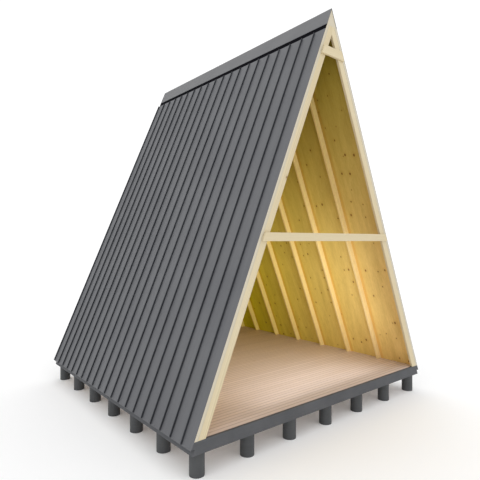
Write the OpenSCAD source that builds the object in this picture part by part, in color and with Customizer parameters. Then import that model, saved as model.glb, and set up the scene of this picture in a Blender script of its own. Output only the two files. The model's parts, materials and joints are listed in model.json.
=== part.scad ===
// A-frame cabin shell on round piers, open at the front, all sizes in millimetres.
// X runs across the front, Y runs along the ridge from front to back, Z is up.
// The ground is z = 0, and the whole with its lapped front boards is centred on x = 0 and y = 0.

/* [Overall] */

// Half of the width over the roof sheets, measured at floor level
half_w = 3166; // [2600:1:3800]

// Slope of each roof side above the level, in degrees
roof_angle = 66.91; // [62:0.01:70]

// Length of the building along the ridge
length = 6350; // [5200:10:7700]

// Height of the floor surface above the ground
floor_h = 585; // [450:1:900]

/* [Piers] */

// Diameter of each round pier
pier_d = 240; // [160:1:320]

// Distance from the foot of the side rims in to the outermost piers' middle
pier_side_inset = 192; // [140:1:260]

// Distance from an end face to the middle of the first row of piers
pier_end_inset = 165; // [140:1:260]

/* [Floor] */

// Height of the rim boards around the floor
rim_h = 205; // [180:1:300]

// Thickness of the front and back rim boards
rim_t = 45; // [30:1:70]

// Thickness of the side rim beams
side_rim_t = 80; // [60:1:110]

// Distance of the lower rim face in from the roof plane
rim_off = 57; // [40:1:80]

// Thickness of the floor deck
deck_t = 28; // [18:1:40]

// Width of each floor joist
joist_w = 50; // [40:1:80]

// Distance between the centres of the two joists on one line of piers
joist_pair = 160; // [120:1:180]

// Distance of the outermost joists in from the outermost piers
joist_inset = 80; // [60:1:110]

/* [Frames] */

// Thickness of each rafter along the ridge
rafter_t = 50; // [38:1:80]

// Distance between the middles of the last two frames, shorter than the others
last_bay = 750; // [600:1:900]

// Depth of each rafter, square to the slope
rafter_d = 128; // [100:1:180]

// Depth of the level cut below the point where the rafters' outer edges would meet
rafter_cut = 173; // [120:1:220]

// Thickness of the lapped collar and gusset on the front frame
lap_t = 45; // [20:1:60]

// Height of the underside of the collar above the floor
collar_z = 2949; // [2200:1:3600]

// Height of the collar board
collar_h = 148; // [100:1:240]

// Distance from the level cut of the rafters down to the gusset's underside
gusset_drop = 600; // [400:1:800]

// Height of the gusset board
gusset_h = 170; // [100:1:240]

/* [Roof layers] */

// Thickness of the inner sheathing
sheathing_t = 22; // [12:1:30]

// Thickness of the pale roof board over the sheathing
board_t = 40; // [20:1:60]

// Thickness of the metal roof sheets
sheet_t = 8; // [4:1:12]

// Distance that the roof sheets run down past the floor surface
eave_drop = 110; // [60:1:160]

// Height of each standing seam above the sheet
seam_h = 32; // [20:1:45]

// Width of each standing seam
seam_w = 14; // [8:1:24]

// Distance from the front face to the middle of the first seam
seam_first = 262; // [150:1:320]

/* [Back wall] */

// Width of each wall stud
stud_w = 50; // [38:1:80]

// Depth of each wall stud along the ridge
stud_d = 90; // [60:1:140]

// Distance between the middles of the wall studs
stud_pitch = 600; // [400:10:650]

// Distance between the middles of the standing seams on the back wall
wall_seam_pitch = 320; // [240:5:500]

/* [Ridge] */

// Height of the open slot between the roof sheets and the ridge cap
slot_h = 102; // [60:1:110]

// Distance that the sheets stop short of the level cut of the rafters
sheet_short = 86; // [60:1:100]

// Thickness of the metal ridge cap
cap_t = 8; // [4:1:12]

// Thickness of the dark vent strip in the slot
vent_t = 4; // [2:1:6]

// Distance that the ridge block stands back from the front face
block_step = 6; // [0:1:12]

/* [Hidden] */

// Small gap left between slanted layers that rest on each other
seat = 0.3;

// Number of frames, of piers each way and of seams on one side
frame_n = 8;
pier_n = 7;
seam_n = 20;

// Run of the slope across for each unit of height, and its sine
slope_run = tan(90 - roof_angle);
slope_sin = sin(roof_angle);

// Perpendicular distance of each layer's two faces in from the sheets' outer plane
sheet_in = sheet_t;
board_out = sheet_in + seat;
board_in = board_out + board_t;
sheathing_out = board_in + seat;
sheathing_in = sheathing_out + sheathing_t;
rafter_out = sheathing_in + seat;
rafter_in = rafter_out + rafter_d;
seam_in = -seat;
seam_out = seam_in - seam_h;
cap_in = cap_t;
block_out = cap_in + seat;
vent_in = board_out - seat;
vent_out = vent_in - vent_t;

// Half-width of a layer face at a height above the floor
function face_x(off, h) = half_w - off / slope_sin - slope_run * h;

// Height above the floor at which a layer face passes over a place across the width
function face_h(off, x) = (half_w - off / slope_sin - abs(x)) / slope_run;

// Height above the floor at which the two faces of a layer meet
function apex_h(off) = (half_w - off / slope_sin) / slope_run;

// Heights above the floor surface
rafter_top = apex_h(rafter_out) - rafter_cut;
sheet_top = rafter_top - sheet_short;
cap_low = sheet_top + slot_h;
gusset_z = rafter_top - gusset_drop;

// Front and back faces of the roof
front_y = (lap_t - length) / 2;
back_y = front_y + length;

// Back wall layers, set inside the roof's back edge
wall_sheet_y = back_y - seam_h - sheet_t;
wall_sheathing_y = wall_sheet_y - sheathing_t;
last_frame_y = wall_sheathing_y - rafter_t;
stud_y = wall_sheathing_y - stud_d;

// Spacings that follow from the overall sizes
frame_pitch = (last_frame_y - last_bay - front_y) / (frame_n - 2);
row_pitch = (length - 2 * pier_end_inset) / (pier_n - 1);
seam_pitch = (length - seam_first - seam_w / 2) / (seam_n - 1);
pier_h = floor_h - rim_h;
joist_h = rim_h - deck_t;
inner_y = front_y + rim_t;
inner_len = length - 2 * rim_t;
pier_half = (pier_n - 1) / 2;
pier_pitch = (face_x(rim_off, -rim_h) - pier_side_inset) / pier_half;
outer_joist_x = pier_half * pier_pitch - joist_inset;

// A level outline in X and Z that is carried along Y from y0 over a distance
module along_y(points, y0, dist) {
  translate([0, y0 + dist, floor_h])
    rotate([90, 0, 0])
      linear_extrude(height = dist)
        polygon(points);
}

// One slanted layer on one side, level at its foot and at its top
module slope_layer(side, out, in, low, high, y0, dist) {
  along_y([
    [side * face_x(out, low), low],
    [side * face_x(out, high), high],
    [side * face_x(in, high), high],
    [side * face_x(in, low), low]
  ], y0, dist);
}

// Round piers in rows across the width
module piers() {
  color([0.32, 0.33, 0.34])
    for (i = [0 : pier_n - 1], j = [-pier_half : pier_half])
      translate([j * pier_pitch, front_y + pier_end_inset + i * row_pitch, 0])
        cylinder(h = pier_h, d = pier_d, $fn = 96);
}

// Joists that run along Y, in pairs over the inner piers and single beside the rims
module floor_joists() {
  color([0.80, 0.70, 0.54]) {
    for (j = [1 - pier_half : pier_half - 1], s = [-1, 1])
      translate([j * pier_pitch + s * joist_pair / 2 - joist_w / 2, inner_y, pier_h])
        cube([joist_w, inner_len, joist_h]);
    for (s = [-1, 1])
      translate([s * outer_joist_x - joist_w / 2, inner_y, pier_h])
        cube([joist_w, inner_len, joist_h]);
  }
}

// Rim board across an end, stepped in below the eave of the sheets
module end_rim(y0) {
  color([0.35, 0.36, 0.37])
    along_y([
      [-face_x(board_out, 0), 0],
      [face_x(board_out, 0), 0],
      [face_x(board_out, -eave_drop), -eave_drop],
      [face_x(rim_off, -eave_drop), -eave_drop],
      [face_x(rim_off, -rim_h), -rim_h],
      [-face_x(rim_off, -rim_h), -rim_h],
      [-face_x(rim_off, -eave_drop), -eave_drop],
      [-face_x(board_out, -eave_drop), -eave_drop]
    ], y0, rim_t);
}

// Rim beam along a side, with the same stepped face as the end rims
module side_rim(side) {
  color([0.35, 0.36, 0.37])
    along_y([
      [side * face_x(rim_off + side_rim_t, -deck_t), -deck_t],
      [side * face_x(board_out, -deck_t), -deck_t],
      [side * face_x(board_out, -eave_drop), -eave_drop],
      [side * face_x(rim_off, -eave_drop), -eave_drop],
      [side * face_x(rim_off, -rim_h), -rim_h],
      [side * face_x(rim_off + side_rim_t, -rim_h), -rim_h]
    ], inner_y, inner_len);
}

// Floor deck between the end rims, over the side rims
module floor_deck() {
  color([0.82, 0.70, 0.60])
    along_y([
      [-face_x(board_out, 0), 0],
      [face_x(board_out, 0), 0],
      [face_x(board_out, -deck_t), -deck_t],
      [-face_x(board_out, -deck_t), -deck_t]
    ], inner_y, inner_len);
}

// One rafter, level at its foot, plumb on the middle line and level under the ridge block
module rafter(side, y0) {
  color([0.89, 0.82, 0.65])
    along_y([
      [side * face_x(rafter_in, 0), 0],
      [side * face_x(rafter_out, 0), 0],
      [side * face_x(rafter_out, rafter_top), rafter_top],
      [side * seat / 2, rafter_top],
      [side * seat / 2, apex_h(rafter_in)]
    ], y0, rafter_t);
}

// A board lapped over the face of an end frame, cut to the slope at both ends
module lapped_board(z0, h, y0) {
  color([0.89, 0.83, 0.67])
    along_y([
      [-face_x(rafter_out, z0), z0],
      [face_x(rafter_out, z0), z0],
      [face_x(rafter_out, z0 + h), z0 + h],
      [-face_x(rafter_out, z0 + h), z0 + h]
    ], y0, lap_t);
}

module front_collar() {
  lapped_board(collar_z, collar_h, front_y - lap_t);
}

module front_gusset() {
  lapped_board(gusset_z, gusset_h, front_y - lap_t);
}

// Sheathing on the outer edges of the rafters of one side
module sheathing(side) {
  color([0.78, 0.62, 0.32])
    slope_layer(side, sheathing_out, sheathing_in, 0, rafter_top, front_y, length);
}

// Pale board layer over the sheathing of one side
module roof_board(side) {
  color([0.86, 0.82, 0.72])
    slope_layer(side, board_out, board_in, 0, rafter_top, front_y, length);
}

// Metal sheet layer of one side, from the eave to the slot under the ridge cap
module roof_sheet(side) {
  color([0.42, 0.43, 0.45])
    slope_layer(side, 0, sheet_in, -eave_drop, sheet_top, front_y, length);
}

// Standing seams of one side
module seams(side) {
  color([0.36, 0.37, 0.39])
    for (i = [0 : seam_n - 1])
      slope_layer(side, seam_out, seam_in, -eave_drop, sheet_top,
        front_y + seam_first + i * seam_pitch - seam_w / 2, seam_w);
}

// Vertical member of the back wall from the floor up to a slanted layer face
module wall_upright(x, w, off, high, y0, dist) {
  along_y(concat(
    [[x - w / 2, 0], [x + w / 2, 0], [x + w / 2, min(high, face_h(off, x + w / 2))]],
    x == 0 && high > face_h(off, 0) ? [[0, face_h(off, 0)]] : [],
    [[x - w / 2, min(high, face_h(off, x - w / 2))]]
  ), y0, dist);
}

// Studs of the back wall, cut to the slope under the last pair of rafters
module back_studs() {
  stud_max = floor((face_x(rafter_in, 0) - stud_w) / stud_pitch);
  color([0.86, 0.78, 0.60])
    for (j = [-stud_max : stud_max])
      wall_upright(j * stud_pitch, stud_w, rafter_in + seat, apex_h(rafter_out), stud_y, stud_d);
}

// Full triangular panel of the back wall, level under the ridge block
module wall_panel(y0, dist) {
  along_y([
    [-face_x(rafter_out, 0), 0],
    [face_x(rafter_out, 0), 0],
    [face_x(rafter_out, rafter_top), rafter_top],
    [-face_x(rafter_out, rafter_top), rafter_top]
  ], y0, dist);
}

// Sheathing of the back wall, on the outer side of the studs and the last frame
module back_sheathing() {
  color([0.78, 0.62, 0.32])
    wall_panel(wall_sheathing_y, sheathing_t);
}

// Metal sheet over the back wall
module back_sheet() {
  color([0.42, 0.43, 0.45])
    wall_panel(wall_sheet_y, sheet_t);
}

// Standing seams on the back wall
module back_seams() {
  seam_max = floor((face_x(rafter_out, 0) - seam_w) / wall_seam_pitch);
  color([0.36, 0.37, 0.39])
    for (j = [-seam_max : seam_max])
      wall_upright(j * wall_seam_pitch, seam_w, rafter_out, rafter_top, back_y - seam_h, seam_h);
}

// Solid timber block under the ridge cap and behind the slots
module ridge_block() {
  color([0.88, 0.82, 0.68])
    along_y([
      [-face_x(block_out, rafter_top), rafter_top],
      [face_x(block_out, rafter_top), rafter_top],
      [0, apex_h(block_out)]
    ], front_y + block_step, length - block_step);
}

// Folded metal cap over the ridge block
module ridge_cap() {
  color([0.45, 0.46, 0.48])
    along_y([
      [face_x(0, cap_low), cap_low],
      [0, apex_h(0)],
      [-face_x(0, cap_low), cap_low],
      [-face_x(cap_in, cap_low), cap_low],
      [0, apex_h(cap_in)],
      [face_x(cap_in, cap_low), cap_low]
    ], front_y, length);
}

// Dark vent strips in the two slots below the ridge cap
module ridge_vent() {
  color([0.05, 0.05, 0.06])
    for (s = [-1, 1])
      slope_layer(s, vent_out, vent_in, sheet_top + seat, cap_low - seat, front_y, length);
}

piers();
floor_joists();
end_rim(front_y);  // front_rim
end_rim(back_y - rim_t);  // back_rim
side_rim(-1);  // left_rim
side_rim(1);  // right_rim
floor_deck();
rafter(-1, front_y);  // left_rafter_1
rafter(-1, front_y + frame_pitch);  // left_rafter_2
rafter(-1, front_y + 2 * frame_pitch);  // left_rafter_3
rafter(-1, front_y + 3 * frame_pitch);  // left_rafter_4
rafter(-1, front_y + 4 * frame_pitch);  // left_rafter_5
rafter(-1, front_y + 5 * frame_pitch);  // left_rafter_6
rafter(-1, front_y + 6 * frame_pitch);  // left_rafter_7
rafter(-1, last_frame_y);  // left_rafter_8
rafter(1, front_y);  // right_rafter_1
rafter(1, front_y + frame_pitch);  // right_rafter_2
rafter(1, front_y + 2 * frame_pitch);  // right_rafter_3
rafter(1, front_y + 3 * frame_pitch);  // right_rafter_4
rafter(1, front_y + 4 * frame_pitch);  // right_rafter_5
rafter(1, front_y + 5 * frame_pitch);  // right_rafter_6
rafter(1, front_y + 6 * frame_pitch);  // right_rafter_7
rafter(1, last_frame_y);  // right_rafter_8
front_collar();
front_gusset();
back_studs();
back_sheathing();
back_sheet();
back_seams();
sheathing(-1);  // left_sheathing
sheathing(1);  // right_sheathing
roof_board(-1);  // left_roof_board
roof_board(1);  // right_roof_board
roof_sheet(-1);  // left_roof_sheet
roof_sheet(1);  // right_roof_sheet
seams(-1);  // left_seams
seams(1);  // right_seams
ridge_block();
ridge_cap();
ridge_vent();
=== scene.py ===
import json
from math import atan2, cos, pi, radians, sin, tan

import bpy
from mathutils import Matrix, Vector


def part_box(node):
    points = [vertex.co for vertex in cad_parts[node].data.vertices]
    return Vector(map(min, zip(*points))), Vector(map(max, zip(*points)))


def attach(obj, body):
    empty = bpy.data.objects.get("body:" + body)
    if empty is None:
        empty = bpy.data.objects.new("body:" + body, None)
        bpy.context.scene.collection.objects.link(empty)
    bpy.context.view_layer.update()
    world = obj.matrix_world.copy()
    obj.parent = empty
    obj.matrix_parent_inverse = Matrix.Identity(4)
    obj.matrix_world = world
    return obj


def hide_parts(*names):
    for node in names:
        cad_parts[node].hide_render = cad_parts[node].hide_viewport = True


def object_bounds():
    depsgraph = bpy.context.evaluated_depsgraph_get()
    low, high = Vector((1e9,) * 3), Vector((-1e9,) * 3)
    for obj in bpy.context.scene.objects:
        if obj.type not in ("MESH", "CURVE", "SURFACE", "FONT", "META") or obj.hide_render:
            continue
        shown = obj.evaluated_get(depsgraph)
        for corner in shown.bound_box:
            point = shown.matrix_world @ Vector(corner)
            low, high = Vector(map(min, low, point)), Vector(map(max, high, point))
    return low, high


bl_info = {
    "name": "A-frame cabin",
    "version": (1, 0, 0),
    "blender": (4, 5, 0),
    "location": "3D View > Sidebar > Cabin",
    "description": "Boards, standing seams, trims, finishes and stage for an A-frame cabin shell",
    "category": "Object",
}

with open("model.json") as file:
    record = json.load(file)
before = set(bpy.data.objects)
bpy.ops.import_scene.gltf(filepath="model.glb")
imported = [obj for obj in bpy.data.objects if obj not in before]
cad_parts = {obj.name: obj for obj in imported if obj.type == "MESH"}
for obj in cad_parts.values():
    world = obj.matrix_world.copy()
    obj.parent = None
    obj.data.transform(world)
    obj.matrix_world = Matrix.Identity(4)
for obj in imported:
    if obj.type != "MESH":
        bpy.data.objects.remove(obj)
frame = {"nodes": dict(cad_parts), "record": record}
NODES = frame["nodes"]
CAD_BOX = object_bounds()
SLOTS = {part["node"]: part["material_slot"] for part in frame["record"]["subparts"]}
SIDES = ("left", "right")
TINY = 1e-4
FLAT_ANGLE = radians(0.5)
SHARP_ANGLE = radians(20)
CAP_LOW, CAP_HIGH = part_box("ridge_cap")
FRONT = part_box("left_roof_sheet")[0].y
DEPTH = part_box("left_roof_sheet")[1].y - FRONT
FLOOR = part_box("floor_deck")[1].z
HEIGHT = CAD_BOX[1].z - FLOOR
FRAME_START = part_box("right_rafter_2")[0].y
FRAME_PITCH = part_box("right_rafter_3")[0].y - FRAME_START

# Share of the painted golden bounced light and shade, from the open front inwards and from the floor upwards
INWARD_STOPS = ((0.0, 0.0), (0.5, 0.46), (0.9, 1.0))
UPWARD_STOPS = ((0.30, 0.0), (0.95, 1.0))
INWARD_PER_METRE_UP = 0.015
# Painted shade high up: tones that the inner timber and the sheathing are multiplied by under the ridge
TIMBER_SHADE_HIGH_UP = (0.90, 0.90, 0.75)
SHEATHING_SHADE_HIGH_UP = (0.38, 0.41, 0.10)
CUT_EDGE_FACING = 0.7

# Metalwork details
SEAM_NECK = 0.0008
EAVE_HEM_BELOW = 0.006
CAP_HEM_BELOW = 0.002
TRIM_EASE = 0.004
BASE_TRIM_END = 0.03

# Room lamps in the open front: name, place across, height above the floor, width, height, share of power
LAMPS = (
    ("low", 0.30, 0.80, 3.6, 0.9, 0.33),
    ("high", 0.15, 2.0, 2.4, 1.0, 0.32),
)
LAMP_INSET = 0.02
LAMP_SPREAD = radians(150)
SENSOR_WIDTH = 36
STUDIO_FLOOR_SIZE = 120
STUDIO_FLOOR_DROP = 0.001

# Finish of each material slot; the braces stand for the side that a part is on
SLOT_FINISH = {
    "pier_paint": "piers", "rim_paint": "rims", "joist_timber": "joists", "deck_wood": "joists",
    "cap_metal": "cap", "vent_black": "vent", "sheathing_wood": "{}_sheathing",
    "roof_board_wood": "{}_board", "roof_metal": "{}_sheet", "seam_metal": "{}_seam",
}


def length_value(name, default, description):
    return bpy.props.FloatProperty(
        name=name, description=description, default=default, min=0, subtype="DISTANCE", unit="LENGTH")


def tone_value(name, default, description):
    return bpy.props.FloatVectorProperty(
        name=name, description=description, default=default, min=0, max=1, size=3, subtype="COLOR")


class CabinRoof(bpy.types.PropertyGroup):
    """Sizes of the roof and wall metalwork"""
    slope: bpy.props.FloatProperty(
        name="Roof slope", description="Slope of each roof side above the level",
        default=atan2(CAP_HIGH.z - CAP_LOW.z, CAP_HIGH.x), subtype="ANGLE", unit="ROTATION")
    seam_count: bpy.props.IntProperty(
        name="Seams on a side", description="Number of standing seams on one roof side", default=20, min=2)
    wall_seam_count: bpy.props.IntProperty(
        name="Seams on the back wall", description="Number of standing seams on the back wall",
        default=19, min=2)
    seam_width: length_value("Seam width", 0.014, "Width of a seam's folded head and foot")
    seam_height: length_value("Seam height", 0.032, "Height of a seam above the sheet")
    seam_head: length_value("Seam head", 0.011, "Height of a seam's folded head")
    seam_foot: length_value("Seam foot", 0.003, "Height of the flat foot of a seam")
    web_share: bpy.props.FloatProperty(
        name="Web share", description="Width of a seam's web as a share of its head",
        default=0.34, min=0, max=1, subtype="FACTOR")
    hem_width: length_value("Hem width", 0.024, "Width of the folded edge at the foot of a sheet")
    hem_thick: length_value("Hem thickness", 0.010, "Thickness of the folded edge at the foot of a sheet")
    hem_proud: length_value("Hem proud", 0.002, "Distance that a folded edge stands out from its sheet")
    trim_width: length_value("Trim width", 0.060, "Width of the trims around the back wall")
    trim_thick: length_value("Trim thickness", 0.012, "Thickness of the trims around the back wall")


class CabinFloor(bpy.types.PropertyGroup):
    """Sizes of the floor boards and of the eased timber edges"""
    board_count: bpy.props.IntProperty(
        name="Boards", description="Number of boards from front to back", default=66, min=2)
    board_gap: length_value("Gap", 0.003, "Open joint between two boards")
    timber_edge: length_value("Timber edge", 0.004, "Width of the rounding along the edges of a frame or rim")
    board_edge: length_value("Eased edge", 0.003, "Width of the rounding along the upper edges of a board")


class CabinColours(bpy.types.PropertyGroup):
    """Colours of the finishes"""
    pier: tone_value("Piers", (0.070, 0.073, 0.076), "Matt dark grey paint on the piers")
    rim: tone_value("Rims", (0.088, 0.091, 0.098), "Matt dark grey paint on the rims")
    sheet: tone_value("Roof sheets", (0.121, 0.124, 0.133), "Coated steel of the roof sheets")
    # The seams are darker than the sheets as painted shade along each rib; seams and sheets are the same
    # coated steel
    seam: tone_value("Seams", (0.040, 0.043, 0.050), "Coated steel of the standing seams")
    cap: tone_value("Ridge cap", (0.150, 0.152, 0.158), "Coated steel of the ridge cap")
    # The vent's near-black tone is also painted shade for the shadowed slot under the ridge cap
    vent: tone_value("Vent strip", (0.004, 0.004, 0.005), "Black mesh in the slots under the ridge cap")
    timber: tone_value("Front frame", (0.645, 0.560, 0.380), "Pale planed softwood of the front frame")
    # The inner frames are the same timber as the front frame; their brighter golden tone is painted bounced
    # light from inside the cabin
    inner: tone_value("Inner frames", (0.880, 0.690, 0.370), "Golden planed softwood of the inner frames")
    # Painted golden bounced light: the tone of the inner frames at the back
    inner_back_bounce_tone: tone_value("Deepest frames", (0.970, 0.800, 0.240), "Deeper golden softwood at the back")
    joist: tone_value("Joists", (0.560, 0.420, 0.250), "Sawn softwood of the joists")
    # The sheathing changes from its tone by the open front to its tone at the back; the change is painted
    # golden bounced light and shade
    sheathing: tone_value(
        "Sheathing by the front", (0.860, 0.610, 0.240), "Sun-bleached golden sheathing by the front")
    deep: tone_value("Sheathing at the back", (0.690, 0.630, 0.010), "Deep golden sheathing at the back")
    board: tone_value("Board edges", (0.595, 0.545, 0.430), "Pale edges of the sheathing and roof boards")
    # The floor changes from its tone by the open front to its tone at the back; the change is painted golden
    # bounced light and shade
    deck: tone_value(
        "Floor by the front", (0.760, 0.655, 0.625), "Bleached pinkish floor boards by the front")
    deck_back_bounce_tone: tone_value("Floor at the back", (0.760, 0.570, 0.390), "Warmer floor boards at the back")


class CabinStage(bpy.types.PropertyGroup):
    """Camera and lights"""
    eye: bpy.props.FloatVectorProperty(
        name="Eye", description="Place of the camera", default=(-6.750, -8.5605, 3.540), size=3,
        subtype="TRANSLATION", unit="LENGTH")
    heading: bpy.props.FloatProperty(
        name="Heading", description="Turn of the camera to the right of the ridge's direction",
        default=radians(39.52), subtype="ANGLE", unit="ROTATION")
    pitch: bpy.props.FloatProperty(
        name="Pitch", description="Upward turn of the camera from the level",
        default=radians(0.100), subtype="ANGLE", unit="ROTATION")
    lens: bpy.props.FloatProperty(
        name="Lens", description="Focal length of the camera", default=33.08, unit="CAMERA")
    sky: bpy.props.FloatProperty(
        name="Sky", description="Strength of the even white surround", default=1.1, min=0)
    room: bpy.props.FloatProperty(
        name="Room light",
        description="Power of the soft light that comes in through the open front, in watts",
        default=75, min=0)


# Shader nodes

class Wire:
    """One socket of a shader graph. Arithmetic on it adds Math nodes."""

    def __init__(self, graph, socket):
        self.graph = graph
        self.socket = socket

    def math(self, operation, *values):
        inputs = dict(enumerate(values))
        return self.graph.node("ShaderNodeMath", {"operation": operation}, inputs)

    def __add__(self, other): return self.math("ADD", self, other)
    def __radd__(self, other): return self.math("ADD", other, self)
    def __sub__(self, other): return self.math("SUBTRACT", self, other)
    def __rsub__(self, other): return self.math("SUBTRACT", other, self)
    def __mul__(self, other): return self.math("MULTIPLY", self, other)
    def __rmul__(self, other): return self.math("MULTIPLY", other, self)
    def __truediv__(self, other): return self.math("DIVIDE", self, other)
    def __gt__(self, other): return self.math("GREATER_THAN", self, other)
    def __lt__(self, other): return self.math("LESS_THAN", self, other)
    def floor(self): return self.math("FLOOR", self)
    def sine(self): return self.math("SINE", self)
    def size(self): return self.math("ABSOLUTE", self)


class Finish:
    """A material and the nodes that are added to it."""

    def __init__(self, name):
        self.material = bpy.data.materials.new(name)
        self.material.use_nodes = True
        self.nodes = self.material.node_tree.nodes
        self.links = self.material.node_tree.links
        self.shader = self.nodes["Principled BSDF"]
        self.place = self.node("ShaderNodeTexCoord", out="Object")

    def node(self, kind, settings=None, inputs=None, out=0):
        """Adds a node, makes its settings, then fills or links its inputs."""
        made = self.nodes.new(kind)
        for key, value in (settings or {}).items():
            if key == "stops":
                self.fill_ramp(made.color_ramp, value)
            else:
                setattr(made, key, value)
        for key, value in (inputs or {}).items():
            self.feed(made.inputs[key], value)
        return Wire(self, made.outputs[out])

    def fill_ramp(self, ramp, stops):
        while len(ramp.elements) < len(stops):
            ramp.elements.new(1.0)
        for element, (position, value) in zip(ramp.elements, stops):
            element.position = position
            element.color = (value, value, value, 1)

    def feed(self, socket, value):
        if isinstance(value, Wire):
            self.links.new(value.socket, socket)
        elif socket.type == "RGBA":
            socket.default_value = (*value, 1)
        else:
            socket.default_value = value

    def set(self, name, value):
        self.feed(self.shader.inputs[name], value)

    def mix(self, share, first, second, blend="MIX"):
        """A colour between two colours."""
        return self.node("ShaderNodeMix", {"data_type": "RGBA", "blend_type": blend},
                         {0: share, 6: first, 7: second}, out=2)

    def ramp(self, value, *stops):
        return self.node("ShaderNodeValToRGB", {"stops": stops}, {"Fac": value})

    def laid(self, turn, stretch):
        """Object coordinates turned to lie along a direction, with each axis divided by its stretch."""
        return self.node("ShaderNodeMapping", {"vector_type": "TEXTURE"},
                         {"Vector": self.place, "Rotation": turn, "Scale": stretch})

    def axes(self, vector):
        apart = self.node("ShaderNodeSeparateXYZ", inputs={"Vector": vector}).socket.node
        return [Wire(self, apart.outputs[i]) for i in range(3)]

    def noise(self, vector, scale, detail=2.0, rough=0.5):
        return self.node("ShaderNodeTexNoise", inputs={
            "Vector": vector, "Scale": scale, "Detail": detail, "Roughness": rough})

    def paint_bounce_and_shade(self, colour, near, far, top):
        """Paints golden bounced light and shade into a colour: it changes from its near tone by the open
        front to its far tone at the back, and is multiplied by the top tone, a painted shade, high up."""
        _, y, z = self.axes(self.place)
        inward = self.ramp((y - FRONT) / DEPTH + (z - FLOOR) * INWARD_PER_METRE_UP, *INWARD_STOPS)
        upward = self.ramp((z - FLOOR) / HEIGHT, *UPWARD_STOPS)
        change = self.mix(inward, (1, 1, 1), tuple(f / n for f, n in zip(far, near)))
        change = self.mix(upward, change, top, "MULTIPLY")
        return self.mix(1.0, colour, change, "MULTIPLY")

    def bump(self, height, strength, distance):
        normal = self.node("ShaderNodeBump", inputs={
            "Height": height, "Strength": strength, "Distance": distance})
        self.set("Normal", normal)


def scaled(tone, factor):
    return tuple(min(1.0, c * f) for c, f in zip(tone, factor))


def coated_steel(name, tone, turn=(0, 0, 0), rough=0.5):
    """Coated steel sheet: a slow change of tone over the sheet, faint rain streaks and a slight waviness."""
    steel = Finish(name)
    cloud = steel.noise(steel.place, 0.9, 3, 0.55)
    streak = steel.noise(steel.laid(turn, (2.4, 0.05, 0.3)), 1.0, 3, 0.6)
    grain = steel.noise(steel.place, 260, 2, 0.6)
    shade = cloud * 0.5 + streak * 0.35 + grain * 0.15
    fade = steel.ramp(shade, (0.36, 0.0), (0.64, 1.0))
    dark, pale = scaled(tone, (0.88, 0.88, 0.89)), scaled(tone, (1.10, 1.10, 1.09))
    steel.set("Base Color", steel.mix(fade, dark, pale))
    steel.set("Roughness", rough - 0.06 + streak * 0.14)
    steel.set("Specular IOR Level", 0.35)
    wave = steel.noise(steel.place, 2.2, 1, 0.4)
    steel.bump(wave + grain * 0.03, 0.25, 0.01)
    return steel.material


def matt_paint(name, tone, rough=0.68):
    """Brushed matt paint: soft cloudy tone and fine brush marks."""
    paint = Finish(name)
    cloud = paint.noise(paint.place, 2.6, 4, 0.6)
    brush = paint.noise(paint.laid((0, 0, 0), (1.6, 1.6, 0.02)), 2.0, 3, 0.6)
    speck = paint.noise(paint.place, 180, 2, 0.5)
    shade = cloud * 0.55 + brush * 0.30 + speck * 0.15
    fade = paint.ramp(shade, (0.36, 0.0), (0.64, 1.0))
    dark, pale = scaled(tone, (0.82, 0.82, 0.83)), scaled(tone, (1.16, 1.16, 1.15))
    paint.set("Base Color", paint.mix(fade, dark, pale))
    paint.set("Roughness", rough - 0.08 + cloud * 0.16)
    paint.set("Specular IOR Level", 0.3)
    paint.bump(brush * 0.6 + speck * 0.4, 0.22, 0.002)
    return paint.material


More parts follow.
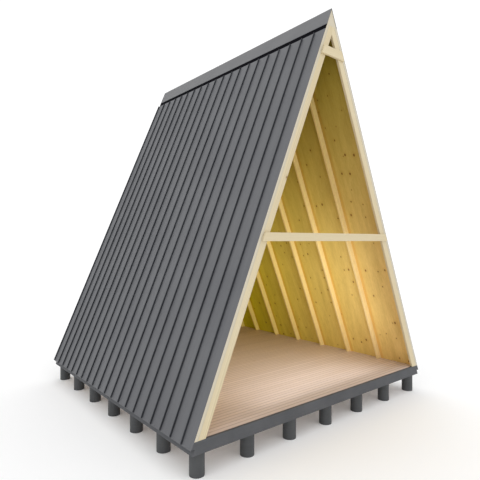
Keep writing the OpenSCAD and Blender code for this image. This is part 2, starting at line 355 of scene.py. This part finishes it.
def softwood(name, tone, turn, knot_share=0.16, contrast=1.0, board=None, deep=None):
    """Planed softwood: growth rings drawn out along the grain, fine fibres and a few knots.
    A board is (first edge, width) where the surface is laid of boards side by side along Y,
    and the tone at the back is given where the colour changes from front to back; this change is painted
    golden bounced light and shade, with painted shade high up."""
    wood = Finish(name)
    along = wood.laid(turn, (1, 1, 1))
    _, y, z = wood.axes(along)
    stretched = wood.laid(turn, (6.0, 0.35, 0.35))
    if board:
        across = (wood.axes(wood.place)[1] - board[0]) / board[1]
        number = across.floor()
        moved = wood.node("ShaderNodeCombineXYZ", inputs={0: number * 3.7, 1: number * 1.9, 2: number * 0.7})
        stretched = wood.node("ShaderNodeVectorMath", {"operation": "ADD"}, {0: stretched, 1: moved})
    slow = wood.noise(stretched, 1.6, 2, 0.5)
    rings = ((y + z) * 260 + slow * 34).sine() * 0.5 + 0.5
    fibre = wood.noise(wood.laid(turn, (0.16, 0.0028, 0.0028)), 1.0, 3, 0.6)
    spot = wood.node("ShaderNodeTexVoronoi", {"voronoi_dimensions": "3D"},
                     {"Vector": wood.laid(turn, (0.42, 0.30, 0.30)), "Scale": 1.0, "Randomness": 0.9})
    cell = wood.axes(Wire(wood, spot.socket.node.outputs["Color"]))[0]
    knot = wood.ramp(spot, (0.035, 1.0), (0.075, 0.0)) * (cell < knot_share)
    halo = wood.ramp(spot, (0.05, 1.0), (0.17, 0.0)) * (cell < knot_share)
    shade = slow * 0.5 + rings * 0.22 * contrast + fibre * 0.35
    fade = wood.ramp(shade, (0.34, 0.0), (0.78, 1.0))
    pale = scaled(tone, (1.07, 1.07, 1.08))
    dark = scaled(tone, (0.88, 0.83, 0.74))
    colour = wood.mix(fade, pale, dark)
    if board:
        pick = wood.node("ShaderNodeTexWhiteNoise", {"noise_dimensions": "1D"}, {"W": number})
        colour = wood.mix(pick * 0.35, colour, scaled(tone, (0.84, 0.82, 0.80)))
        joint = wood.ramp((across - number - 0.5).size(), (0.34, 0.0), (0.48, 1.0))
        colour = wood.mix(joint * 0.65, colour, scaled(tone, (0.46, 0.40, 0.36)))
    colour = wood.mix(halo * 0.45, colour, scaled(tone, (0.72, 0.58, 0.42)))
    colour = wood.mix(knot * 0.85, colour, scaled(tone, (0.34, 0.22, 0.14)))
    # Painted golden bounced light and shade, growing from the open front inwards and upwards
    wood.set("Base Color", wood.paint_bounce_and_shade(colour, tone, deep, TIMBER_SHADE_HIGH_UP) if deep else colour)
    wood.set("Roughness", 0.52 + fibre * 0.2)
    wood.set("Specular IOR Level", 0.3)
    wood.bump(fibre * 0.5 + rings * 0.3 - knot * 0.4, 0.25, 0.0015)
    return wood.material


def sheathing_wood(name, tone, deep, edge, turn):
    """Golden sheathing: broad flowing figure along the slope with small dark knots.
    Painted golden bounced light and shade change its tone from the open front towards the back and darken it
    high up, and it is pale on its cut edges."""
    wood = Finish(name)
    # Faces that point along Y are the cut edges; they keep the pale board tone, while the golden tone of the
    # faces is partly the wood's own and partly painted bounced light
    facing = Wire(wood, wood.place.socket.node.outputs["Normal"])
    cut_edge = wood.axes(facing)[1].size() > CUT_EDGE_FACING
    flow = wood.noise(wood.laid(turn, (1.1, 0.16, 0.16)), 1.0, 3, 0.55)
    fine = wood.noise(wood.laid(turn, (0.12, 0.020, 0.020)), 1.0, 4, 0.75)
    flat = wood.laid(turn, (0.34, 0.24, 0.24))
    spot = wood.node("ShaderNodeTexVoronoi", {"voronoi_dimensions": "2D"},
                     {"Vector": flat, "Scale": 1.0, "Randomness": 1.0})
    cell, size, _ = wood.axes(Wire(wood, spot.socket.node.outputs["Color"]))
    away = spot / (0.45 + size * 0.9)
    knot = wood.ramp(away, (0.050, 1.0), (0.090, 0.0)) * (cell < 0.42)
    halo = wood.ramp(away, (0.06, 1.0), (0.26, 0.0)) * (cell < 0.42)
    shade = flow * 0.5 + fine * 0.5
    fade = wood.ramp(shade, (0.38, 0.0), (0.64, 1.0))
    colour = wood.mix(fade, scaled(tone, (1.07, 1.07, 1.12)), scaled(tone, (0.86, 0.83, 0.74)))
    colour = wood.mix(halo * 0.35, colour, scaled(tone, (0.80, 0.66, 0.45)))
    colour = wood.mix(knot * 0.9, colour, scaled(tone, (0.30, 0.17, 0.12)))
    # Painted shade: an orange-brown darkening on the sheathing just in front of each frame, where the frame
    # shades it
    along = (wood.axes(wood.place)[1] - FRAME_START) / FRAME_PITCH
    corner = wood.ramp(along - along.floor(), (0.90, 0.0), (0.94, 1.0))
    colour = wood.mix(corner * 0.55, colour, scaled(tone, (0.86, 0.62, 0.42)))
    # Painted golden bounced light and shade towards the back and high up
    colour = wood.paint_bounce_and_shade(colour, tone, deep, SHEATHING_SHADE_HIGH_UP)
    # Pale board tone on the cut edges; the golden face tone is partly the wood's own and partly painted
    # bounced light
    wood.set("Base Color", wood.mix(cut_edge, colour, wood.mix(fade, edge, scaled(edge, (0.9, 0.88, 0.84)))))
    wood.set("Roughness", 0.55 + fine * 0.2)
    wood.set("Specular IOR Level", 0.25)
    wood.bump(fine * 0.6 - knot * 0.5, 0.2, 0.0015)
    return wood.material


def black_mesh(name, tone):
    """Black vent mesh: a fine dark weave. Its near-black tone is also painted shade for the shadowed slot
    under the ridge cap.
    """
    mesh = Finish(name)
    weave = mesh.noise(mesh.place, 320, 1, 0.5)
    mesh.set("Base Color", mesh.mix(weave, tone, scaled(tone, (3, 3, 3))))
    mesh.set("Roughness", 0.9)
    mesh.set("Specular IOR Level", 0.0)
    mesh.bump(weave, 0.3, 0.001)
    return mesh.material


def paper_white(name):
    floor = Finish(name)
    floor.set("Base Color", (0.93, 0.93, 0.93))
    floor.set("Roughness", 0.9)
    floor.set("Specular IOR Level", 0.1)
    floor.set("Emission Color", (1, 1, 1))
    floor.set("Emission Strength", 0.10)
    return floor.material


def wear(piece, material):
    """Gives a piece one material."""
    piece.data.materials.clear()
    piece.data.materials.append(material)


# Modelling steps

def deselect():
    if bpy.context.mode != "OBJECT":
        bpy.ops.object.mode_set(mode="OBJECT")
    bpy.ops.object.select_all(action="DESELECT")


def block(name, low, high):
    """A box between two corners, ready to be shaped."""
    deselect()
    low, high = Vector(low), Vector(high)
    bpy.ops.mesh.primitive_cube_add(size=1, location=(low + high) / 2, scale=high - low)
    piece = bpy.context.object
    piece.name = piece.data.name = name
    bpy.ops.object.transform_apply(location=True, rotation=True, scale=True)
    return piece


def only(piece):
    deselect()
    piece.select_set(True)
    bpy.context.view_layer.objects.active = piece


def pick_points(piece, test):
    """Goes into edit mode with the points selected whose place passes a test."""
    only(piece)
    mesh = piece.data
    mesh.polygons.foreach_set("select", [False] * len(mesh.polygons))
    mesh.edges.foreach_set("select", [False] * len(mesh.edges))
    mesh.vertices.foreach_set("select", [test(v.co) for v in mesh.vertices])
    bpy.context.tool_settings.mesh_select_mode = (True, False, False)
    bpy.ops.object.mode_set(mode="EDIT")


def pick_edges(piece, test):
    """Goes into edit mode with the edges selected whose two ends pass a test."""
    only(piece)
    mesh = piece.data
    chosen = [test(*(mesh.vertices[i].co for i in e.vertices)) for e in mesh.edges]
    mesh.polygons.foreach_set("select", [False] * len(mesh.polygons))
    ends = {i for e, c in zip(mesh.edges, chosen) if c for i in e.vertices}
    mesh.vertices.foreach_set("select", [i in ends for i in range(len(mesh.vertices))])
    mesh.edges.foreach_set("select", chosen)
    bpy.context.tool_settings.mesh_select_mode = (False, True, False)
    bpy.ops.object.mode_set(mode="EDIT")


def cut(piece, place, normal, drop=False):
    """Cuts all of a piece on a plane, and may drop and close what is beyond it."""
    pick_points(piece, lambda co: True)
    bpy.ops.mesh.bisect(plane_co=place, plane_no=normal, clear_outer=drop, use_fill=drop)
    bpy.ops.object.mode_set(mode="OBJECT")


def round_edges(piece, test, width, steps):
    pick_edges(piece, test)
    bpy.ops.mesh.bevel(offset=width, segments=steps, affect="EDGES")
    bpy.ops.object.mode_set(mode="OBJECT")


def repeat(piece, count, step):
    """Copies a piece along a line."""
    only(piece)
    row = piece.modifiers.new("row", "ARRAY")
    row.count = count
    row.use_relative_offset = False
    row.use_constant_offset = True
    row.constant_offset_displace = step
    bpy.ops.object.modifier_apply(modifier=row.name)


def put(piece, place, turn):
    """Turns and moves a piece, and leaves its object at the origin."""
    only(piece)
    piece.rotation_euler = turn
    piece.location = place
    bpy.ops.object.transform_apply(location=True, rotation=True, scale=True)


def joined(name, pieces):
    only(pieces[0])
    for piece in pieces:
        piece.select_set(True)
    bpy.ops.object.join()
    whole = bpy.context.object
    whole.name = whole.data.name = name
    return whole


def closed(piece):
    """Makes all faces of a piece point outwards."""
    pick_points(piece, lambda co: True)
    bpy.ops.mesh.normals_make_consistent(inside=False)
    bpy.ops.object.mode_set(mode="OBJECT")
    deselect()


def hand_in(piece, slot, material, *stands_for):
    wear(piece, material)
    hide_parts(*stands_for)
    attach(piece, "root")


def seam_fold(name, run, roof):
    """One standing seam that lies along X on z = 0: a flat foot, a narrow web and a rounded head."""
    half, top = roof.seam_width / 2, roof.seam_height
    low, high = roof.seam_foot + SEAM_NECK, top - roof.seam_head - SEAM_NECK
    rounding = roof.seam_width * 0.3
    fold = block(name, (0, -half, 0), (run, half, top))
    for level in (roof.seam_foot, low, high, top - roof.seam_head):
        cut(fold, (0, 0, level), (0, 0, 1))
    pick_points(fold, lambda co: low - TINY < co.z < high + TINY)
    bpy.ops.transform.resize(value=(1, roof.web_share, 1), center_override=(0, 0, 0))
    bpy.ops.object.mode_set(mode="OBJECT")
    round_edges(fold, lambda a, b: a.z > top - TINY and b.z > top - TINY and abs(a.x - b.x) > half,
                rounding, 2)
    pick_points(fold, lambda co: co.x < TINY and co.z > high + TINY)
    bpy.ops.transform.translate(value=(roof.seam_head, 0, 0))
    bpy.ops.object.mode_set(mode="OBJECT")
    return fold


def folded_edge(name, length, roof, below):
    """A folded sheet edge that lies along Y on z = 0, with a rounded nose at x = -below."""
    edge = block(name, (-below, 0, roof.hem_proud - roof.hem_thick),
                 (roof.hem_width - below, length, roof.hem_proud))
    nose, nose_rounding = -below + TINY, roof.hem_thick * 0.42
    round_edges(edge, lambda a, b: a.x < nose and b.x < nose and abs(a.y - b.y) > TINY, nose_rounding, 3)
    back, proud = roof.hem_width - below - TINY, roof.hem_proud - TINY
    lip_slope = roof.hem_proud * 0.9
    round_edges(edge, lambda a, b: min(a.x, b.x) > back and min(a.z, b.z) > proud, lip_slope, 1)
    return edge


def side_turn(side, slope):
    """Turn that brings a flat piece on to a roof side, with its X up the slope and its Z outwards."""
    return (0, -slope, 0 if side == "left" else pi)


def foot_of(side, node):
    """Outer lower corner of a roof layer at its front end, and its length along the ridge."""
    low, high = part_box(node)
    x = low.x if side == "left" else high.x
    y = low.y if side == "left" else high.y
    return Vector((x, y, low.z)), high.y - low.y


def frame_finish(node):
    """Finish of a frame timber. The two rafters of the front frame keep the plain timber tone; the frames
    behind get a brighter golden tone, which is painted bounced light from inside the cabin.
    """
    side = node.split("_")[0]
    if side in SIDES:
        return side + ("_timber" if node.endswith("_1") else "_inner")
    return {"front": "collar", "back": "stud", "ridge": "ridge"}[side]


# Steps of the work

class CABIN_OT_finishes(bpy.types.Operator):
    """Make the finishes and give them to the kept parts"""
    bl_idname = "cabin.finishes"
    bl_label = "Finishes"

    def execute(self, context):
        tone = context.scene.cabin_colours
        slope = context.scene.cabin_roof.slope
        lying = {"left": (0, -slope, 0), "right": (0, slope - pi, 0)}
        upright = (0, -pi / 2, 0)
        along_y = (0, 0, pi / 2)
        made = {
            "piers": matt_paint("Pier paint", tone.pier, 0.6),
            "rims": matt_paint("Rim paint", tone.rim),
            "joists": softwood("Sawn joist", tone.joist, along_y, 0.2, 1.3),
            "cap": coated_steel("Ridge cap steel", tone.cap, along_y, 0.52),
            "vent": black_mesh("Vent mesh", tone.vent),
            "collar": softwood("Collar timber", tone.timber, (0, 0, 0), 0.10),
            "stud": softwood("Stud timber", tone.inner, upright, deep=tone.inner_back_bounce_tone),
            "ridge": softwood("Ridge timber", tone.board, along_y, 0.0, 0.6),
            "back_sheathing": sheathing_wood(
                "Back sheathing", tone.sheathing, tone.deep, tone.board, upright),
            "back_sheet": coated_steel("Back wall steel", tone.sheet, upright),
            "back_seam": coated_steel("Back seam steel", tone.seam, upright, 0.45),
        }
        for side in SIDES:
            turn = lying[side]
            made[side + "_timber"] = softwood(side.title() + " rafter timber", tone.timber, turn)
            # Inner timber: a golden tone and a change towards the back that are painted bounced light and
            # shade
            made[side + "_inner"] = softwood(
                side.title() + " inner timber", tone.inner, turn, deep=tone.inner_back_bounce_tone)
            made[side + "_sheathing"] = sheathing_wood(
                side.title() + " sheathing", tone.sheathing, tone.deep, tone.board, turn)
            made[side + "_board"] = softwood(side.title() + " roof board", tone.board, turn, 0.0, 0.6)
            made[side + "_sheet"] = coated_steel(side.title() + " roof steel", tone.sheet, turn)
            made[side + "_seam"] = coated_steel(side.title() + " seam steel", tone.seam, turn, 0.45)
        for name, node in NODES.items():
            side = name.split("_")[0]
            if SLOTS[name] == "frame_timber":
                kind = frame_finish(name)
            else:
                kind = SLOT_FINISH[SLOTS[name]].format(side)
            wear(node, made[kind])
        return {"FINISHED"}


def finish_of(node):
    return NODES[node].data.materials[0]


def merged_copy(name, node):
    """A copy of a kept part with its loose triangles merged into whole faces."""
    piece = bpy.data.objects.new(name, NODES[node].data.copy())
    piece.data.name = name
    bpy.context.collection.objects.link(piece)
    pick_points(piece, lambda co: True)
    bpy.ops.mesh.remove_doubles(threshold=TINY / 10)
    bpy.ops.mesh.dissolve_limited(angle_limit=FLAT_ANGLE)
    bpy.ops.object.mode_set(mode="OBJECT")
    return piece


class CABIN_OT_eased_timber(bpy.types.Operator):
    """Ease the sharp edges of the frames, the lapped boards and the rims"""
    bl_idname = "cabin.eased_timber"
    bl_label = "Eased timber"

    def execute(self, context):
        size = context.scene.cabin_floor
        for node, slot in SLOTS.items():
            if slot not in ("frame_timber", "rim_paint") or node == "ridge_block":
                continue
            piece = merged_copy("eased_" + node, node)
            ease = piece.modifiers.new("ease", "BEVEL")
            ease.width = size.timber_edge
            ease.segments = 2
            ease.limit_method = "ANGLE"
            ease.angle_limit = SHARP_ANGLE
            bpy.ops.object.modifier_apply(modifier=ease.name)
            closed(piece)
            hand_in(piece, slot, finish_of(node), node)
        return {"FINISHED"}


class CABIN_OT_floor_boards(bpy.types.Operator):
    """Lay the floor boards across the joists"""
    bl_idname = "cabin.floor_boards"
    bl_label = "Floor boards"

    def execute(self, context):
        size = context.scene.cabin_floor
        low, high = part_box("floor_deck")
        pitch = (high.y - low.y) / size.board_count
        reach = high.x - (high.z - low.z) / tan(context.scene.cabin_roof.slope)
        gap = size.board_gap / 2
        board = block("floor_boards", (-reach, low.y + gap, low.z), (reach, low.y + pitch - gap, high.z))
        top = high.z - TINY
        round_edges(board, lambda a, b: a.z > top and b.z > top and abs(a.x - b.x) > reach,
                    size.board_edge, 2)
        repeat(board, size.board_count, (0, pitch, 0))
        closed(board)
        tone = context.scene.cabin_colours
        # The floor's colour changes from front to back with painted golden bounced light and shade
        oak = softwood("Floor board wood", tone.deck, (0, 0, 0), 0.12, 0.8, (low.y, pitch), tone.deck_back_bounce_tone)
        hand_in(board, "deck_wood", oak, "floor_deck")
        return {"FINISHED"}


class CABIN_OT_roof_seams(bpy.types.Operator):
    """Fold the standing seams of the two roof sides"""
    bl_idname = "cabin.roof_seams"
    bl_label = "Roof seams"

    def execute(self, context):
        roof = context.scene.cabin_roof
        for side in SIDES:
            node = side + "_seams"
            low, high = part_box(node)
            foot, _ = foot_of(side, side + "_roof_sheet")
            start = roof.hem_width * 0.1
            run = (high.z - low.z) / sin(roof.slope) - roof.seam_height / tan(roof.slope) - start
            step = (high.y - low.y - roof.seam_width) / (roof.seam_count - 1)
            fold = seam_fold(side + "_standing_seams", run, roof)
            repeat(fold, roof.seam_count, (0, step, 0))
            up = Vector((cos(roof.slope) * (1 if side == "left" else -1), 0, sin(roof.slope)))
            place = foot + up * start
            place.y = low.y + roof.seam_width / 2 if side == "left" else high.y - roof.seam_width / 2
            put(fold, place, side_turn(side, roof.slope))
            closed(fold)
            hand_in(fold, "seam_metal", finish_of(node), node)
        return {"FINISHED"}


class CABIN_OT_folded_edges(bpy.types.Operator):
    """Fold the lower edges of the roof sheets and of the ridge cap"""
    bl_idname = "cabin.folded_edges"
    bl_label = "Folded edges"

    def execute(self, context):
        roof = context.scene.cabin_roof
        for side in SIDES:
            hems = (("eave_hem", side + "_roof_sheet", EAVE_HEM_BELOW),
                    ("cap_hem", "ridge_cap", CAP_HEM_BELOW))
            for name, node, below in hems:
                foot, length = foot_of(side, node)
                edge = folded_edge(side + "_" + name, length, roof, below)
                put(edge, foot, side_turn(side, roof.slope))
                closed(edge)
                hand_in(edge, SLOTS[node], finish_of(node))
        return {"FINISHED"}


class CABIN_OT_back_wall(bpy.types.Operator):
    """Fold the seams of the back wall and put trims around it"""
    bl_idname = "cabin.back_wall"
    bl_label = "Back wall metalwork"

    def execute(self, context):
        roof = context.scene.cabin_roof
        slope = roof.slope
        low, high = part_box("back_seams")
        sheet_low, sheet_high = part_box("back_sheet")
        step = (high.x - low.x - roof.seam_width) / (roof.wall_seam_count - 1)
        inset = roof.trim_width * 0.9
        fold = seam_fold("back_standing_seams", high.z - low.z - inset, roof)
        repeat(fold, roof.wall_seam_count, (0, step, 0))
        put(fold, (low.x + roof.seam_width / 2, low.y, low.z + inset), (0, -pi / 2, -pi / 2))
        for way in (-1, 1):
            outward = Vector((way * sin(slope), 0, cos(slope)))
            corner = Vector((sheet_low.x if way < 0 else sheet_high.x, 0, sheet_low.z))
            cut(fold, corner - outward * inset, outward, drop=True)
        closed(fold)
        hand_in(fold, "seam_metal", finish_of("back_seams"), "back_seams")
        trims = []
        y = sheet_high.y
        run = (sheet_high.z - sheet_low.z) / sin(slope)
        for side in SIDES:
            trim = block(side + "_trim", (0, 0, -roof.trim_width), (run, roof.trim_thick, 0))
            edge = -roof.trim_width + TINY
            round_edges(trim, lambda a, b: max(a.z, b.z) < edge and min(a.y, b.y) > TINY, TRIM_EASE, 2)
            corner = Vector((sheet_low.x if side == "left" else sheet_high.x, y, sheet_low.z))
            if side == "right":
                corner.y += roof.trim_thick
            put(trim, corner, side_turn(side, slope))
            trims.append(trim)
        base_thick = roof.trim_thick * 1.2
        base = block("base_trim", (sheet_low.x + BASE_TRIM_END, y, sheet_low.z),
                     (sheet_high.x - BASE_TRIM_END, y + base_thick, sheet_low.z + roof.trim_width))
        top = sheet_low.z + roof.trim_width - TINY
        round_edges(base, lambda a, b: min(a.z, b.z) > top and min(a.y, b.y) > y + TINY, TRIM_EASE, 2)
        trims.append(base)
        whole = joined("back_trims", trims)
        closed(whole)
        hand_in(whole, "roof_metal", finish_of("back_sheet"))
        return {"FINISHED"}


class CABIN_OT_stage(bpy.types.Operator):
    """Set the floor, the surround, the lights and the camera"""
    bl_idname = "cabin.stage"
    bl_label = "Stage"

    def execute(self, context):
        stage = context.scene.cabin_stage
        scene = context.scene
        deselect()
        bpy.ops.mesh.primitive_plane_add(size=STUDIO_FLOOR_SIZE, location=(0, 0, -STUDIO_FLOOR_DROP))
        floor = bpy.context.object
        floor.name = "studio_floor"
        wear(floor, paper_white("Studio floor"))
        world = bpy.data.worlds.new("Studio surround")
        world.use_nodes = True
        back = world.node_tree.nodes["Background"]
        back.inputs["Color"].default_value = (1, 1, 1, 1)
        back.inputs["Strength"].default_value = stage.sky
        scene.world = world
        low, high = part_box("floor_deck")
        for name, across, height, wide, tall, share in LAMPS:
            bpy.ops.object.light_add(type="AREA", location=(across, low.y + LAMP_INSET, high.z + height),
                                     rotation=(pi / 2, 0, 0))
            lamp = bpy.context.object
            lamp.name = "room_light_" + name
            lamp.data.shape = "RECTANGLE"
            lamp.data.size = wide
            lamp.data.size_y = tall
            lamp.data.energy = stage.room * share
            lamp.data.spread = LAMP_SPREAD
            lamp.visible_camera = False
        bpy.ops.object.camera_add(location=stage.eye, rotation=(pi / 2 + stage.pitch, 0, -stage.heading))
        camera = bpy.context.object
        camera.data.lens = stage.lens
        camera.data.sensor_width = SENSOR_WIDTH
        scene.camera = camera
        scene.view_settings.view_transform = "Standard"
        return {"FINISHED"}


STEPS = (CABIN_OT_finishes, CABIN_OT_eased_timber, CABIN_OT_floor_boards, CABIN_OT_roof_seams,
         CABIN_OT_folded_edges, CABIN_OT_back_wall, CABIN_OT_stage)
GROUPS = {"cabin_roof": CabinRoof, "cabin_floor": CabinFloor, "cabin_colours": CabinColours,
          "cabin_stage": CabinStage}


class CABIN_PT_panel(bpy.types.Panel):
    """Sizes, colours and steps of the cabin"""
    bl_idname = "CABIN_PT_panel"
    bl_label = "A-frame cabin"
    bl_space_type = "VIEW_3D"
    bl_region_type = "UI"
    bl_category = "Cabin"

    def draw(self, context):
        for name, group in GROUPS.items():
            box = self.layout.box()
            for key in group.__annotations__:
                box.prop(getattr(context.scene, name), key)
        for step in STEPS:
            self.layout.operator(step.bl_idname)


def register():
    for group in GROUPS.values():
        bpy.utils.register_class(group)
    for step in STEPS:
        bpy.utils.register_class(step)
    bpy.utils.register_class(CABIN_PT_panel)
    for name, group in GROUPS.items():
        setattr(bpy.types.Scene, name, bpy.props.PointerProperty(type=group))


def unregister():
    for name in GROUPS:
        delattr(bpy.types.Scene, name)
    bpy.utils.unregister_class(CABIN_PT_panel)
    for step in reversed(STEPS):
        bpy.utils.unregister_class(step)
    for group in reversed(list(GROUPS.values())):
        bpy.utils.unregister_class(group)


def main():
    register()
    bpy.ops.cabin.finishes()
    bpy.ops.cabin.eased_timber()
    bpy.ops.cabin.floor_boards()
    bpy.ops.cabin.roof_seams()
    bpy.ops.cabin.folded_edges()
    bpy.ops.cabin.back_wall()
    bpy.ops.cabin.stage()


if __name__ == "__main__":
    main()
